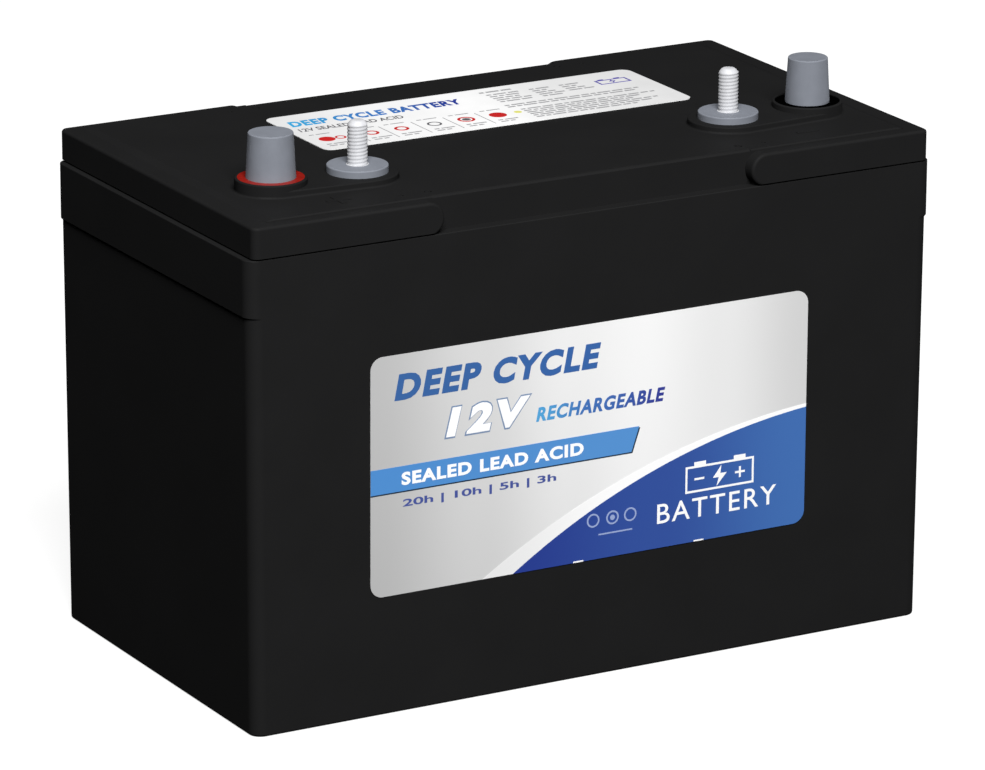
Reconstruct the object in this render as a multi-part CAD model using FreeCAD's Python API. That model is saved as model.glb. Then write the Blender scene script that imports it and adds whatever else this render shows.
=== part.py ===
import FreeCAD, Part
import math
import os

# Deep cycle battery: 12 volt, sealed, absorbed glass mat, group 27 size, dual terminals.
# X runs along the length with the positive terminals at -X, the labelled front faces -Y,
# Z is up, and the origin is the centre of the underside. Lengths are in millimetres.

# ---- driving dimensions: the container ------------------------------------------------
CASE_TOP = 190.8            # height of the container's rim
CASE_HALF_X = 153.0         # over the raised band at the ends
CASE_HALF_Y = 82.9          # at the rim
CASE_CORNER = 5.2
BASE_HALF_X = 151.4
BASE_HALF_Y = 82.4
FOOT_ROUND = 1.0            # round along the bottom edge
RIM_ROUND = 0.4
BAND_HEIGHT = 22.6          # band round the rim, proud of the two end walls
BAND_PROUD = 0.8
DRAFT_TOP = 180.0           # the front and back walls are drafted up to here
FLOOR = 4.0                 # thickness of the container's bottom
CELL_COUNT = 6
CELL_WIDTH = 47.5
PARTITION = 2.0
CELL_HALF_Y = 78.0
RIM_INNER_Y = 75.5          # the wall thickens inwards to carry the lid
RIM_SLOPE = 3.0             # height over which it thickens
CELL_CORNER = 2.0

# ---- driving dimensions: the lid ------------------------------------------------------
LID_HALF_X = 150.9
LID_HALF_Y = 83.5
LID_CORNER = 3.0
SEAM = 0.7                  # open groove between the rim and the lid's skirt
WELD_HALF_X = 149.2         # weld rib inside the groove
WELD_HALF_Y = 81.5
WELD_OVERLAP = 0.5          # how far joined lid solids reach into each other
RIB_INSET = 2.5             # how far under a pad its rib and the plateau's end start
LEDGE_TOP = 203.75
PLATEAU_TOP = 204.6
PLATEAU_HALF_X = 139.8
PLATEAU_RAMP = 3.5          # length of the slope from the plateau down to the end ledges
PLATEAU_CORNER = 3.0
PLATEAU_ROUND = 0.7         # round on the plateau's edges beside the ledges
RECESS_Y = 77.8             # face of the long middle recess, front and back
RECESS_ROUND = 1.8          # round on the plateau's edges above the recesses
PAD_END_X = 68.7            # innermost point of a corner pad's half-round end
PAD_END_RADIUS = 6.7
PAD_JOIN_X = 100.0          # where the pad's end meets the plain skirt
LEDGE_ROUND = 1.2
CEILING = 201.3             # underside of the lid's top wall
DIMPLES = ((69.5, 71.2, 1.5), (81.2, 71.2, 1.0))   # ejector marks: x, y, radius
DIMPLE_DEPTH = 0.5
MARK_X = 105.2              # middle of the raised plus and minus
MARK_Y = -65.6
MARK_HALF_LONG = 5.0
MARK_HALF_WIDE = 1.1
MARK_HEIGHT = 0.25

# ---- driving dimensions: terminals ----------------------------------------------------
POST_X = 120.8
POST_Y = -40.0
STUD_X = 83.5
STUD_Y = -40.5
COLLAR_RADIUS = 14.1
COLLAR_TOP = 209.75
COLLAR_ROUND = 0.5
ISLAND_TOP = 207.3
ISLAND_ROUND = 0.5
STUD_BOSS_RADIUS = 16.1
ROOT_ROUND = 0.8            # hollow round where the island and collar rise from the lid
POST_HEIGHT = 17.75         # above the collar
POST_ROUND = 0.5
POSITIVE_TOP_RADIUS = 8.75  # automotive taper post, 1 in 9
NEGATIVE_TOP_RADIUS = 7.95
TAPER = 1.0 / 18.0          # change of radius per millimetre of height
RING_RADIUS = 13.0
RING_DEPTH = 1.6
NEGATIVE_RING_SINK = 0.4
POST_FOOT = 196.3
BORE_RADIUS = 6.0
BORE_TOP_WALL = 4.0         # solid lead left over the riser
FLANGE = (201.3, 203.3)     # low and high of the flange cast into the lid
FLANGE_RADIUS = 12.0
SEAL = (197.9, 199.9)       # low and high of the rubber seal
PAD_RADIUS = 12.05
PAD_THICK = 2.85
PAD_ROUND = 0.5
NECK_RADIUS = 8.0
NECK_FOOT = 201.9
STUD_RADIUS = 3.97          # 5/16 inch thread
STUD_SHANK_RADIUS = 4.4     # knurled part cast into the pad's neck
STUD_TOP = 227.7
STUD_CHAMFER = 0.9
STUD_HEAD_RADIUS = 6.6
STUD_HEAD_THICK = 2.6
STUD_HEAD_WALL = 3.0        # lid plastic round the head
LINK_HALF_WIDTH = 6.0
LINK_TOP = 205.1
FIT = 0.05                  # clearance between cast lead and moulded plastic

# ---- driving dimensions: vent pocket and relief valves --------------------------------
COVER = (-71.8, 90.4, 1.0, 52.1)    # low x, high x, low y, high y
COVER_THICK = 2.0
COVER_CORNER = 3.0
POCKET_WALL = 2.0
POCKET_CORNER = 2.0
POCKET_FLOOR = 193.5
POCKET_UNDERSIDE = 191.5
NECK_TOP = 199.5            # top of each vent neck
VENT_RADIUS = 4.5
VENT_BORE = 2.75
DUCT_RADIUS = 1.3
DUCT_Z = 194.6
DUCT_HALF_WIDTH = 3.0       # of the block round a duct inside the pocket
DUCT_COVER = 0.6            # plastic over a duct
CAP_RADIUS = 6.25
CAP_SKIRT_FOOT = 196.8
CAP_TOP = 200.8
CAP_ROUND = 0.6
VALVES = {                  # cell: (x, y) of its vent neck
    1: (-60.0, 38.0), 2: (-62.0, 14.0), 3: (-18.0, 38.0),
    4: (30.0, 14.0), 5: (70.0, 38.0), 6: (80.0, 14.0),
}
DUCTED = {1: -104.0, 6: 104.0}      # cells that reach their neck through a duct, and its far end

# ---- driving dimensions: labels -------------------------------------------------------
FRONT_LABEL = (-100.9, 95.8, 48.5, 145.4)   # low x, high x, low z, high z
TOP_LABEL = (-75.7, 92.0, -0.5, 53.6)       # low x, high x, low y, high y
LABEL_CORNER = 5.4
TOP_LABEL_CORNER = 4.4
LABEL_THICK = 0.25

# ---- driving dimensions: plates -------------------------------------------------------
POSITIVE_PLATES = 6         # in each cell, with one more negative
POSITIVE_THICK = 3.2
NEGATIVE_THICK = 2.0
MAT_THICK = 1.14
PLATE_HALF_Y = 72.5
MAT_HALF_Y = 74.5
PLATE_FOOT = 5.8
PLATE_TOP = 158.0
MAT_TOP = 161.0
LUG_HALF_Y = 6.0
LUG_TOP = 168.0
STRAP_TOP = 174.0
STRAP_HALF_Y = 8.0
STRAP_GAP = 1.0             # between a strap's end and the partition
TAB_TOP = 187.0
TAB_THICK = 4.5
STRAP_Y = 40.0              # plate lugs line up at +Y and -Y of this
WELD_Z = 180.5
WELD_RADIUS = 5.0

# ---- worked out from the driving dimensions -------------------------------------------
PITCH = CELL_WIDTH + PARTITION
CELLS = range(1, CELL_COUNT + 1)
CELLS_HALF_X = (CELL_COUNT * CELL_WIDTH + (CELL_COUNT - 1) * PARTITION) / 2
DRAFT_Y = (CASE_HALF_Y - BASE_HALF_Y) / DRAFT_TOP
WAIST_HALF_X = CASE_HALF_X - BAND_PROUD
COVER_FOOT = PLATEAU_TOP - COVER_THICK
POST_TOP = COLLAR_TOP + POST_HEIGHT
PAD_TOP = ISLAND_TOP + PAD_THICK
CLEAR = 1.0                 # how far a cutting tool reaches past what it cuts
TOUCH = 0.01                # nearer than this counts as touching
LEVEL = 0.0001              # an edge that rises less than this counts as level


def vec(x, y, z):
    return FreeCAD.Vector(x, y, z)


def block(x_low, x_high, y_low, y_high, z_low, z_high):
    return Part.makeBox(x_high - x_low, y_high - y_low, z_high - z_low, vec(x_low, y_low, z_low))


def rod(x, y, z_low, z_high, radius):
    return Part.makeCylinder(radius, z_high - z_low, vec(x, y, z_low))


def rounded_outline(x_low, x_high, y_low, y_high, radius, z):
    """A closed level outline: four straight sides and four round corners."""
    centres = (
        (x_high - radius, y_low + radius, 270),
        (x_high - radius, y_high - radius, 0),
        (x_low + radius, y_high - radius, 90),
        (x_low + radius, y_low + radius, 180),
    )
    up = vec(0, 0, 1)
    arcs = [Part.makeCircle(radius, vec(x, y, z), up, turn, turn + 90) for x, y, turn in centres]
    edges = []
    for arc, following in zip(arcs, arcs[1:] + arcs[:1]):
        edges += [arc, Part.makeLine(arc.Vertexes[-1].Point, following.Vertexes[0].Point)]
    return Part.Wire(edges)


def centred_outline(half_x, half_y, radius, z):
    return rounded_outline(-half_x, half_x, -half_y, half_y, radius, z)


def raise_outline(outline, height):
    return Part.Face(outline).extrude(vec(0, 0, height))


def rounded_block(x_low, x_high, y_low, y_high, radius, z_low, z_high):
    return raise_outline(rounded_outline(x_low, x_high, y_low, y_high, radius, z_low), z_high - z_low)


def level_edges(shape, z, keep=lambda x, y: True):
    """The edges that lie wholly at one height and whose middle passes the test."""
    found = []
    for edge in shape.Edges:
        box = edge.BoundBox
        flat = abs(box.ZMin - z) < LEVEL and abs(box.ZMax - z) < LEVEL
        if flat and keep(box.Center.x, box.Center.y):
            found.append(edge)
    return found


def teardrop(centre_a, radius_a, centre_b, radius_b, z_low, z_high):
    """A level plate that wraps two circles and the straight tangents between them."""
    (ax, ay), (bx, by) = centre_a, centre_b
    length = math.hypot(bx - ax, by - ay)
    heading = math.atan2(by - ay, bx - ax)
    swing = math.acos((radius_a - radius_b) / length)

    def rim_point(centre, radius, angle):
        return vec(centre[0] + radius * math.cos(angle), centre[1] + radius * math.sin(angle), z_low)

    circles = ((centre_a, radius_a), (centre_b, radius_b))
    left_a, left_b = (rim_point(centre, radius, heading + swing) for centre, radius in circles)
    right_a, right_b = (rim_point(centre, radius, heading - swing) for centre, radius in circles)
    far_a = rim_point(centre_a, radius_a, heading + math.pi)
    far_b = rim_point(centre_b, radius_b, heading)
    outline = Part.Wire([
        Part.makeLine(left_a, left_b),
        Part.Arc(left_b, far_b, right_b).toShape(),
        Part.makeLine(right_b, right_a),
        Part.Arc(right_a, far_a, left_a).toShape(),
    ])
    return raise_outline(outline, z_high - z_low)


def cell_centre(cell):
    return (cell - (CELL_COUNT + 1) / 2) * PITCH


def partition_centre(cell):
    """Middle of the wall between a cell and the next one."""
    return cell_centre(cell) + PITCH / 2


def positive_side(cell):
    """Y of a cell's positive strap: it changes sides from each cell to the next."""
    return -STRAP_Y if cell % 2 else STRAP_Y


def case_half_y(z):
    return min(BASE_HALF_Y + DRAFT_Y * z, CASE_HALF_Y)


# ---- container ------------------------------------------------------------------------
def make_cell_hollow(cell):
    middle = cell_centre(cell)
    sections = (
        (FLOOR, CELL_HALF_Y),
        (DRAFT_TOP - RIM_SLOPE, CELL_HALF_Y),
        (DRAFT_TOP, RIM_INNER_Y),
        (CASE_TOP + CLEAR, RIM_INNER_Y),
    )
    outlines = [
        rounded_outline(middle - CELL_WIDTH / 2, middle + CELL_WIDTH / 2, -half_y, half_y, CELL_CORNER, z)
        for z, half_y in sections
    ]
    return Part.makeLoft(outlines, True, True)


def make_case():
    band_foot = CASE_TOP - BAND_HEIGHT
    waist = BASE_HALF_X + (WAIST_HALF_X - BASE_HALF_X) * band_foot / DRAFT_TOP
    sections = (
        (0.0, BASE_HALF_X),
        (band_foot - BAND_PROUD, waist),
        (band_foot, CASE_HALF_X),
        (DRAFT_TOP, CASE_HALF_X),
        (CASE_TOP, CASE_HALF_X),
    )
    outlines = [centred_outline(half_x, case_half_y(z), CASE_CORNER, z) for z, half_x in sections]
    case = Part.makeLoft(outlines, True, True)
    case = case.makeFillet(FOOT_ROUND, level_edges(case, 0.0))
    case = case.makeFillet(RIM_ROUND, level_edges(case, CASE_TOP))
    case = case.cut([make_cell_hollow(cell) for cell in CELLS])
    weld_holes = [weld_plug(cell, WELD_RADIUS + FIT) for cell in CELLS if cell < CELL_COUNT]
    return case.cut(weld_holes)


def weld_plug(cell, radius):
    """A round plug along X that fills the partition after this cell."""
    low_x = partition_centre(cell) - PARTITION / 2
    return Part.makeCylinder(radius, PARTITION, vec(low_x, -positive_side(cell), WELD_Z), vec(1, 0, 0))


# ---- lid ------------------------------------------------------------------------------
def make_pad_end(side):
    """The half-round inner end of a front corner pad, as a slot shape that the skirt's foot trims."""
    face_y, inner_y = -LID_HALF_Y, -RECESS_Y + 2 * CLEAR
    centre_x = PAD_END_X + PAD_END_RADIUS
    centre_z = LEDGE_TOP - PAD_END_RADIUS
    low_z = centre_z - PAD_END_RADIUS

    def point(x, z):
        return vec(side * x, face_y, z)

    outline = Part.Wire([
        Part.makeLine(point(PAD_JOIN_X, LEDGE_TOP), point(centre_x, LEDGE_TOP)),
        Part.Arc(point(centre_x, LEDGE_TOP), point(PAD_END_X, centre_z), point(centre_x, low_z)).toShape(),
        Part.makeLine(point(centre_x, low_z), point(PAD_JOIN_X, low_z)),
        Part.makeLine(point(PAD_JOIN_X, low_z), point(PAD_JOIN_X, LEDGE_TOP)),
    ])
    pad = Part.Face(outline).extrude(vec(0, inner_y - face_y, 0))

    def rounded(edge):
        box = edge.BoundBox
        on_face = box.YMax < face_y + TOUCH
        join = box.XLength < TOUCH and box.ZLength > PAD_END_RADIUS
        return on_face and not join
    pad = pad.makeFillet(LEDGE_ROUND, [edge for edge in pad.Edges if rounded(edge)])
    skirt_foot = CASE_TOP + SEAM
    return pad.cut(block(-LID_HALF_X, LID_HALF_X, face_y - CLEAR, inner_y + CLEAR, low_z - CLEAR, skirt_foot))


def make_skirt():
    """The lid's outer band, cut back to the recess face between the four corner pads."""
    skirt = raise_outline(centred_outline(LID_HALF_X, LID_HALF_Y, LID_CORNER, CASE_TOP + SEAM),
                          LEDGE_TOP - CASE_TOP - SEAM)
    skirt = skirt.makeFillet(LEDGE_ROUND, level_edges(skirt, LEDGE_TOP))
    for y_low, y_high in ((-LID_HALF_Y - CLEAR, -RECESS_Y), (RECESS_Y, LID_HALF_Y + CLEAR)):
        skirt = skirt.cut(block(-PAD_JOIN_X, PAD_JOIN_X, y_low, y_high, CASE_TOP, LEDGE_TOP + CLEAR))
    pads = []
    for side in (-1, 1):
        pads.append(make_pad_end(side))
        back = make_pad_end(side)
        back.rotate(vec(0, 0, 0), vec(0, 0, 1), 180.0)
        pads.append(back)
    return skirt.fuse(pads).removeSplitter()


def make_plateau():
    """The lid's raised middle: it slopes down to the end ledges and steps down to the others."""
    middle_half = PAD_END_X + RIB_INSET
    ramp_foot = PLATEAU_HALF_X + PLATEAU_RAMP
    ends = rounded_block(-ramp_foot, ramp_foot, -RECESS_Y, RECESS_Y, PLATEAU_CORNER,
                         CASE_TOP + SEAM, PLATEAU_TOP)
    ends = ends.makeFillet(PLATEAU_ROUND, level_edges(ends, PLATEAU_TOP))
    for side in (-1, 1):
        wedge = Part.Face(Part.makePolygon([
            vec(side * PLATEAU_HALF_X, -LID_HALF_Y, PLATEAU_TOP),
            vec(side * (ramp_foot + CLEAR), -LID_HALF_Y, PLATEAU_TOP),
            vec(side * (ramp_foot + CLEAR), -LID_HALF_Y, LEDGE_TOP),
            vec(side * ramp_foot, -LID_HALF_Y, LEDGE_TOP),
            vec(side * PLATEAU_HALF_X, -LID_HALF_Y, PLATEAU_TOP),
        ])).extrude(vec(0, 2 * LID_HALF_Y, 0))
        ends = ends.cut(wedge)

    def beside_recess(x, y):
        return abs(y) > RECESS_Y - TOUCH
    ends = ends.cut(block(-middle_half, middle_half, -LID_HALF_Y, LID_HALF_Y, CASE_TOP, PLATEAU_TOP + CLEAR))
    middle = block(-middle_half, middle_half, -RECESS_Y, RECESS_Y, CASE_TOP, PLATEAU_TOP)
    middle = middle.makeFillet(RECESS_ROUND, level_edges(middle, PLATEAU_TOP, beside_recess))
    return ends.fuse(middle)


def make_weld_rib():
    """The rib that stands on the container's rim, inside the seam groove."""
    rib_top = CASE_TOP + SEAM + WELD_OVERLAP
    along = rounded_block(-WELD_HALF_X, WELD_HALF_X, -RECESS_Y, RECESS_Y, CELL_CORNER, CASE_TOP, rib_top)
    under_pads = []
    inner_x = PAD_END_X + RIB_INSET
    for side in (-1, 1):
        for front in (-1, 1):
            x_low, x_high = sorted((side * inner_x, side * WELD_HALF_X))
            y_low, y_high = sorted((front * RIM_INNER_Y, front * WELD_HALF_Y))
            under_pads.append(rounded_block(x_low, x_high, y_low, y_high, CELL_CORNER, CASE_TOP, rib_top))
    return along.fuse(under_pads)


def make_lid_hollow():
    return rounded_block(-CELLS_HALF_X, CELLS_HALF_X, -RIM_INNER_Y, RIM_INNER_Y, CELL_CORNER,
                         CASE_TOP - CLEAR, CEILING)


def make_lid_ribs():
    """One rib above each partition, welded to it, so that every cell is sealed."""
    half = PARTITION / 2
    return [
        block(partition_centre(cell) - half, partition_centre(cell) + half,
              -RIM_INNER_Y - WELD_OVERLAP, RIM_INNER_Y + WELD_OVERLAP, CASE_TOP, CEILING + WELD_OVERLAP)
        for cell in CELLS if cell < CELL_COUNT
    ]


def make_rooted_island(post, stud):
    """The island on a plate that lies flush in the lid, joined by a hollow round at its foot."""
    island = teardrop(post, COLLAR_RADIUS, stud, STUD_BOSS_RADIUS, CEILING, ISLAND_TOP)
    margin = 2 * ROOT_ROUND
    plate = teardrop(post, COLLAR_RADIUS + margin, stud, STUD_BOSS_RADIUS + margin, CEILING, PLATEAU_TOP)
    rooted = island.fuse(plate)

    def on_island(edge):
        middle = edge.valueAt((edge.FirstParameter + edge.LastParameter) / 2)
        return island.distToShape(Part.Vertex(middle))[0] < TOUCH
    root = [edge for edge in level_edges(rooted, PLATEAU_TOP) if on_island(edge)]
    rooted = rooted.makeFillet(ROOT_ROUND, root)
    return rooted.makeFillet(ISLAND_ROUND, level_edges(rooted, ISLAND_TOP))


def make_terminal_island(side):
    """What the lid carries round a post and its stud: island and collar above, boss below."""
    post, stud = (side * POST_X, POST_Y), (side * STUD_X, STUD_Y)
    head_wall = STUD_HEAD_RADIUS + STUD_HEAD_WALL
    boss = teardrop(post, COLLAR_RADIUS, stud, head_wall, POST_FOOT + WELD_OVERLAP, CEILING + WELD_OVERLAP)
    collar = rod(*post, CEILING, COLLAR_TOP, COLLAR_RADIUS)
    collar = collar.makeFillet(COLLAR_ROUND, level_edges(collar, COLLAR_TOP))
    return [make_rooted_island(post, stud), boss, collar]


def make_terminal_hollows(side):
    """What the cast lead and steel inserts take out of the lid."""
    post, stud = (side * POST_X, POST_Y), (side * STUD_X, STUD_Y)
    barrel = post_foot_radius(side) + FIT
    link_ends = sorted((post[0], stud[0]))
    return [
        rod(*post, POST_FOOT - CLEAR, COLLAR_TOP + CLEAR, barrel),
        rod(*post, FLANGE[0], FLANGE[1], FLANGE_RADIUS + FIT),
        rod(*post, SEAL[0], SEAL[1], FLANGE_RADIUS + FIT),
        rod(*post, COLLAR_TOP - RING_DEPTH, COLLAR_TOP + CLEAR, RING_RADIUS + FIT),
        block(link_ends[0], link_ends[1], STUD_Y - LINK_HALF_WIDTH - FIT, STUD_Y + LINK_HALF_WIDTH + FIT,
              NECK_FOOT - FIT, LINK_TOP + FIT),
        rod(*stud, NECK_FOOT - FIT, ISLAND_TOP + CLEAR, NECK_RADIUS + FIT),
        rod(*stud, NECK_FOOT - STUD_HEAD_THICK - FIT, NECK_FOOT, STUD_HEAD_RADIUS + FIT),
    ]


def make_polarity_mark(side):
    """A raised plus at -X or minus at +X, in front of the terminals."""
    x, low, high = side * MARK_X, CEILING + CLEAR, PLATEAU_TOP + MARK_HEIGHT
    long, wide = MARK_HALF_LONG, MARK_HALF_WIDE
    mark = block(x - long, x + long, MARK_Y - wide, MARK_Y + wide, low, high)
    if side < 0:
        mark = mark.fuse(block(x - wide, x + wide, MARK_Y - long, MARK_Y + long, low, high))
    return mark


def make_dimples():
    return [
        rod(sx * x, sy * y, PLATEAU_TOP - DIMPLE_DEPTH, PLATEAU_TOP + CLEAR, radius)
        for x, y, radius in DIMPLES for sx in (-1, 1) for sy in (-1, 1)
    ]


def make_vent_pocket():
    """The box under the cover: (solids to add, hollows to cut) with necks and ducts."""
    x_low, x_high, y_low, y_high = COVER
    wall, joint = POCKET_WALL, CEILING + WELD_OVERLAP
    added = [rounded_block(x_low, x_high, y_low, y_high, COVER_CORNER, POCKET_UNDERSIDE, joint)]
    cut_first = [
        rounded_block(x_low + wall, x_high - wall, y_low + wall, y_high - wall, POCKET_CORNER,
                      POCKET_FLOOR, COVER_FOOT),
        rounded_block(x_low, x_high, y_low, y_high, COVER_CORNER, COVER_FOOT, PLATEAU_TOP + CLEAR),
    ]
    necks, bores = [], []
    neck_root, bore_top = POCKET_UNDERSIDE + WELD_OVERLAP, NECK_TOP + CLEAR
    for cell, (x, y) in VALVES.items():
        necks.append(rod(x, y, neck_root, NECK_TOP, VENT_RADIUS))
        if cell in DUCTED:
            far = DUCTED[cell]
            ends = sorted((x, far))
            added.append(block(ends[0], ends[1], y - VENT_RADIUS, y + VENT_RADIUS, POCKET_UNDERSIDE, joint))
            necks.append(block(max(ends[0], x_low + CLEAR), min(ends[1], x_high - CLEAR),
                               y - DUCT_HALF_WIDTH, y + DUCT_HALF_WIDTH,
                               neck_root, DUCT_Z + DUCT_RADIUS + DUCT_COVER))
            bores.append(rod(x, y, DUCT_Z - DUCT_RADIUS, bore_top, VENT_BORE))
            bores.append(Part.makeCylinder(DUCT_RADIUS, abs(far - x) + CLEAR, vec(x, y, DUCT_Z),
                                           vec(math.copysign(1, far - x), 0, 0)))
        else:
            bores.append(rod(x, y, POCKET_UNDERSIDE - CLEAR, bore_top, VENT_BORE))
    return added, cut_first, necks, bores


def make_lid():
    shell = make_skirt().fuse([make_plateau(), make_weld_rib()])
    pocket_walls, pocket, necks, bores = make_vent_pocket()
    shell = shell.cut(make_lid_hollow())
    added = make_lid_ribs() + pocket_walls
    for side in (-1, 1):
        added += make_terminal_island(side) + [make_polarity_mark(side)]
    shell = shell.fuse(added)
    shell = shell.cut(pocket).fuse(necks)
    hollows = bores + make_dimples() + make_terminal_hollows(-1) + make_terminal_hollows(1)
    return shell.cut(hollows).removeSplitter()


def make_valve_cover():
    x_low, x_high, y_low, y_high = COVER
    return rounded_block(x_low + FIT, x_high - FIT, y_low + FIT, y_high - FIT, COVER_CORNER,
                         COVER_FOOT, PLATEAU_TOP)


def make_relief_valve(cell):
    """A rubber cap that sits on its vent neck and lifts under pressure."""
    x, y = VALVES[cell]
    cap = rod(x, y, CAP_SKIRT_FOOT, CAP_TOP, CAP_RADIUS)
    cap = cap.makeFillet(CAP_ROUND, level_edges(cap, CAP_TOP))
    return cap.cut(rod(x, y, CAP_SKIRT_FOOT - CLEAR, NECK_TOP, VENT_RADIUS + FIT))


# ---- terminals ------------------------------------------------------------------------
def post_top_radius(side):
    return POSITIVE_TOP_RADIUS if side < 0 else NEGATIVE_TOP_RADIUS


def post_foot_radius(side):
    return post_top_radius(side) + TAPER * POST_HEIGHT


def make_post(side):
    """A lead bushing cast into the lid: tapered above the collar, flanged below it."""
    x = side * POST_X
    foot_radius = post_foot_radius(side)
    taper = Part.makeCone(foot_radius, post_top_radius(side), POST_HEIGHT, vec(x, POST_Y, COLLAR_TOP))
    taper = taper.makeFillet(POST_ROUND, level_edges(taper, POST_TOP))
    barrel = rod(x, POST_Y, POST_FOOT, COLLAR_TOP, foot_radius)
    flange = rod(x, POST_Y, FLANGE[0], FLANGE[1], FLANGE_RADIUS)
    bore = rod(x, POST_Y, POST_FOOT - CLEAR, POST_TOP - BORE_TOP_WALL, BORE_RADIUS)
    return taper.fuse([barrel, flange]).cut(bore)


def make_riser(side):
    """The lead column that stands on the end strap and is burned into the post."""
    return rod(side * POST_X, POST_Y, STRAP_TOP, POST_TOP - BORE_TOP_WALL, BORE_RADIUS - FIT)


def make_post_seal(side):
    ring = rod(side * POST_X, POST_Y, SEAL[0], SEAL[1], FLANGE_RADIUS)
    hole = rod(side * POST_X, POST_Y, SEAL[0] - CLEAR, SEAL[1] + CLEAR, post_foot_radius(side) + FIT)
    return ring.cut(hole)


def make_ring(side):
    """The marker ring in the collar's mouth, red at the positive post and black at the other."""
    top = COLLAR_TOP if side < 0 else COLLAR_TOP - NEGATIVE_RING_SINK
    ring = rod(side * POST_X, POST_Y, COLLAR_TOP - RING_DEPTH, top, RING_RADIUS)
    hole = rod(side * POST_X, POST_Y, COLLAR_TOP - RING_DEPTH - CLEAR, COLLAR_TOP + CLEAR,
               post_foot_radius(side) + FIT)
    return ring.cut(hole)


def make_stud_pad(side):
    x = side * STUD_X
    disk = rod(x, STUD_Y, ISLAND_TOP, PAD_TOP, PAD_RADIUS)
    disk = disk.makeFillet(PAD_ROUND, level_edges(disk, PAD_TOP))
    neck = rod(x, STUD_Y, NECK_FOOT, ISLAND_TOP, NECK_RADIUS)
    return disk.fuse(neck).cut(rod(x, STUD_Y, NECK_FOOT - CLEAR, PAD_TOP + CLEAR, STUD_SHANK_RADIUS + FIT))


def make_stud(side):
    """A steel stud: thread drawn at its major diameter, shank in the pad, head under its neck."""
    x = side * STUD_X
    thread = rod(x, STUD_Y, PAD_TOP, STUD_TOP, STUD_RADIUS)
    thread = thread.makeChamfer(STUD_CHAMFER, level_edges(thread, STUD_TOP))
    shank = rod(x, STUD_Y, NECK_FOOT, PAD_TOP, STUD_SHANK_RADIUS)
    head = rod(x, STUD_Y, NECK_FOOT - STUD_HEAD_THICK, NECK_FOOT, STUD_HEAD_RADIUS)
    return thread.fuse([shank, head])


def make_link(side):
    """The lead bar inside the lid that joins the post to the stud's pad."""
    ends = sorted((side * POST_X, side * STUD_X))
    bar = block(ends[0], ends[1], STUD_Y - LINK_HALF_WIDTH, STUD_Y + LINK_HALF_WIDTH, NECK_FOOT, LINK_TOP)
    return bar.cut([
        rod(side * POST_X, POST_Y, FLANGE[0] - CLEAR, LINK_TOP + CLEAR, post_foot_radius(side) + FIT),
        rod(side * POST_X, POST_Y, FLANGE[0], FLANGE[1] + FIT, FLANGE_RADIUS + FIT),
        rod(side * STUD_X, STUD_Y, NECK_FOOT - CLEAR, LINK_TOP + CLEAR, NECK_RADIUS + FIT),
    ])


# ---- labels ---------------------------------------------------------------------------
def make_front_label():
    """A thin plate on the drafted front wall: drawn level, then stood up against it."""
    x_low, x_high, z_low, z_high = FRONT_LABEL
    lean = math.atan(DRAFT_Y)
    height = z_high - z_low
    label = rounded_block(x_low, x_high, 0.0, height, LABEL_CORNER, 0.0, LABEL_THICK)
    label.rotate(vec(0, 0, 0), vec(1, 0, 0), 90.0 + math.degrees(lean))
    label.translate(vec(0, -case_half_y(z_low), z_low))
    return label


def make_top_label():
    x_low, x_high, y_low, y_high = TOP_LABEL
    return rounded_block(x_low, x_high, y_low, y_high, TOP_LABEL_CORNER,
                         PLATEAU_TOP, PLATEAU_TOP + LABEL_THICK)


# ---- plates, mats and straps ----------------------------------------------------------
def plate_places(cell):
    """X of the middle of each positive and each negative plate in a cell."""
    step = POSITIVE_THICK + NEGATIVE_THICK + 2 * MAT_THICK
    middle = cell_centre(cell)
    positives = [middle + (i - (POSITIVE_PLATES - 1) / 2) * step for i in range(POSITIVE_PLATES)]
    negatives = [middle + (i - POSITIVE_PLATES / 2) * step for i in range(POSITIVE_PLATES + 1)]
    return positives, negatives


def make_plate(x, thick, lug_y):
    half = thick / 2
    sheet = block(x - half, x + half, -PLATE_HALF_Y, PLATE_HALF_Y, PLATE_FOOT, PLATE_TOP)
    lug = block(x - half, x + half, lug_y - LUG_HALF_Y, lug_y + LUG_HALF_Y, PLATE_TOP, LUG_TOP)
    return sheet.fuse(lug).removeSplitter()


def make_positive_plates(cell):
    positives, _ = plate_places(cell)
    return Part.makeCompound([make_plate(x, POSITIVE_THICK, positive_side(cell)) for x in positives])


def make_negative_plates(cell):
    _, negatives = plate_places(cell)
    return Part.makeCompound([make_plate(x, NEGATIVE_THICK, -positive_side(cell)) for x in negatives])


def make_separators(cell):
    """One glass mat folded under each positive plate, up to a little above the plates."""
    positives, _ = plate_places(cell)
    mats = []
    for x in positives:
        inner = POSITIVE_THICK / 2
        outer = inner + MAT_THICK
        mat = block(x - outer, x + outer, -MAT_HALF_Y, MAT_HALF_Y, PLATE_FOOT - MAT_THICK, MAT_TOP)
        slit_half_y = MAT_HALF_Y + CLEAR
        slit = block(x - inner, x + inner, -slit_half_y, slit_half_y, PLATE_FOOT, MAT_TOP + CLEAR)
        mats.append(mat.cut(slit))
    return Part.makeCompound(mats)


def make_strap(cell, y, tab_side):
    """The cast bar over one row of lugs, with a tab against the partition where it is welded on."""
    middle = cell_centre(cell)
    reach = CELL_WIDTH / 2
    bar_reach = reach - STRAP_GAP
    y_low, y_high = y - STRAP_HALF_Y, y + STRAP_HALF_Y
    strap = block(middle - bar_reach, middle + bar_reach, y_low, y_high, LUG_TOP, STRAP_TOP)
    if tab_side:
        x_low, x_high = sorted((middle + tab_side * reach, middle + tab_side * (reach - TAB_THICK)))
        tab = block(x_low, x_high, y_low, y_high, LUG_TOP, TAB_TOP)
        strap = strap.fuse(tab).removeSplitter()
    return strap


def make_positive_strap(cell):
    return make_strap(cell, positive_side(cell), -1 if cell > 1 else 0)


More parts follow.
